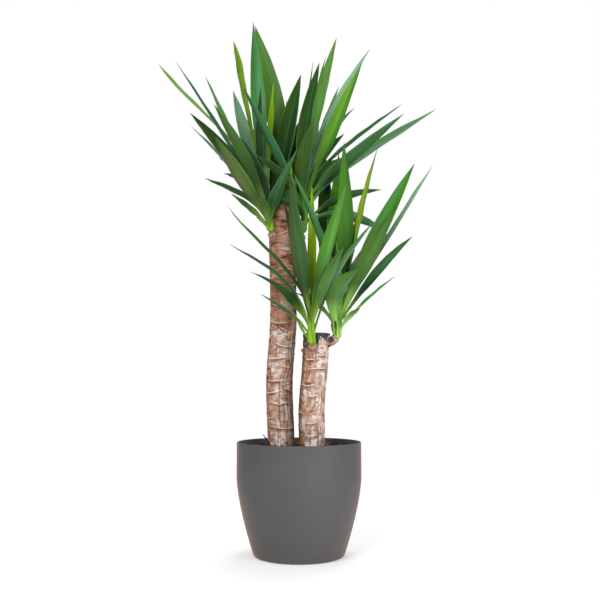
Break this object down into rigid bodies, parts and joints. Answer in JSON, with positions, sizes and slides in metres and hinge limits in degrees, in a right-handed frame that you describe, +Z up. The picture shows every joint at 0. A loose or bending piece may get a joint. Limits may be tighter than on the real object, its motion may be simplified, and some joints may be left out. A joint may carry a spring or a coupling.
{
  "type": "potted yucca",
  "caption": "Potted yucca with a tall and a short upright cane, sword-leaved side shoots and a plain tapered planter.",
  "frame": {"origin": "middle of the planter's flat base, where it stands on the floor", "axes": "+Z up along the planter's axis and the canes, front of the plant towards -Y"},
  "size_m": [0.6041, 0.447, 1.146],
  "materials": {
    "pot": "matt anthracite, fine grain",
    "soil": "crumbly, dull",
    "bark": "rough bark with leaf scars",
    "wax": "dull dark wax",
    "leaf": "satin leaf"
  },
  "bodies": {
    "root": {"pot": "pot", "soil": "soil", "tall_cane": "bark", "short_cane": "bark", "tall_cane_seal": "wax", "short_cane_seal": "wax", "tall_left_shoot": "leaf", "tall_back_shoot": "leaf", "tall_right_shoot": "leaf", "short_left_shoot": "leaf", "short_right_shoot": "leaf"}
  },
  "joints": []
}
